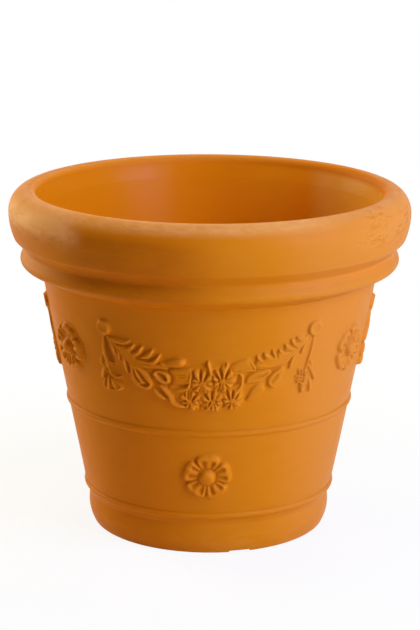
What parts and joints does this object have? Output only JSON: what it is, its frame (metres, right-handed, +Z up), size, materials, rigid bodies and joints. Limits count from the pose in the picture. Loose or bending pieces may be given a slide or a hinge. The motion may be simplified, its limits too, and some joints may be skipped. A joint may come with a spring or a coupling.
{
  "type": "flower pot",
  "caption": "Round tapered terracotta garden pot with a rolled rim, garlands of leaves and flowers, rosettes and a drain hole.",
  "frame": {"origin": "middle of the foot, on the ground plane", "axes": "+Z up along the pot's axis; the front garland faces -Y; +X is to the right seen from the front"},
  "size_m": [0.5, 0.5, 0.428],
  "materials": {
    "wall_clay": "satin",
    "rim_clay": "satin",
    "band_clay": "satin",
    "foot_clay": "satin",
    "relief_clay": "satin"
  },
  "bodies": {
    "root": {"floor_slab": "foot_clay", "foot_ring": "foot_clay", "lower_wall": "wall_clay", "upper_wall": "wall_clay", "lower_string_course": "band_clay", "middle_string_course": "band_clay", "collar_moulding": "band_clay", "rim_roll": "rim_clay", "front_left_knob": "relief_clay", "front_right_knob": "relief_clay", "front_left_drop": "relief_clay", "front_right_drop": "relief_clay", "front_left_branch": "relief_clay", "front_right_branch": "relief_clay", "front_flower_cluster": "relief_clay", "right_left_knob": "relief_clay", "right_right_knob": "relief_clay", "right_left_drop": "relief_clay", "right_right_drop": "relief_clay", "right_left_branch": "relief_clay", "right_right_branch": "relief_clay", "right_flower_cluster": "relief_clay", "left_left_knob": "relief_clay", "left_right_knob": "relief_clay", "left_left_drop": "relief_clay", "left_right_drop": "relief_clay", "left_left_branch": "relief_clay", "left_right_branch": "relief_clay", "left_flower_cluster": "relief_clay", "front_left_upper_rosette": "relief_clay", "front_right_upper_rosette": "relief_clay", "back_upper_rosette": "relief_clay", "front_lower_rosette": "relief_clay", "right_lower_rosette": "relief_clay", "left_lower_rosette": "relief_clay"}
  },
  "joints": []
}
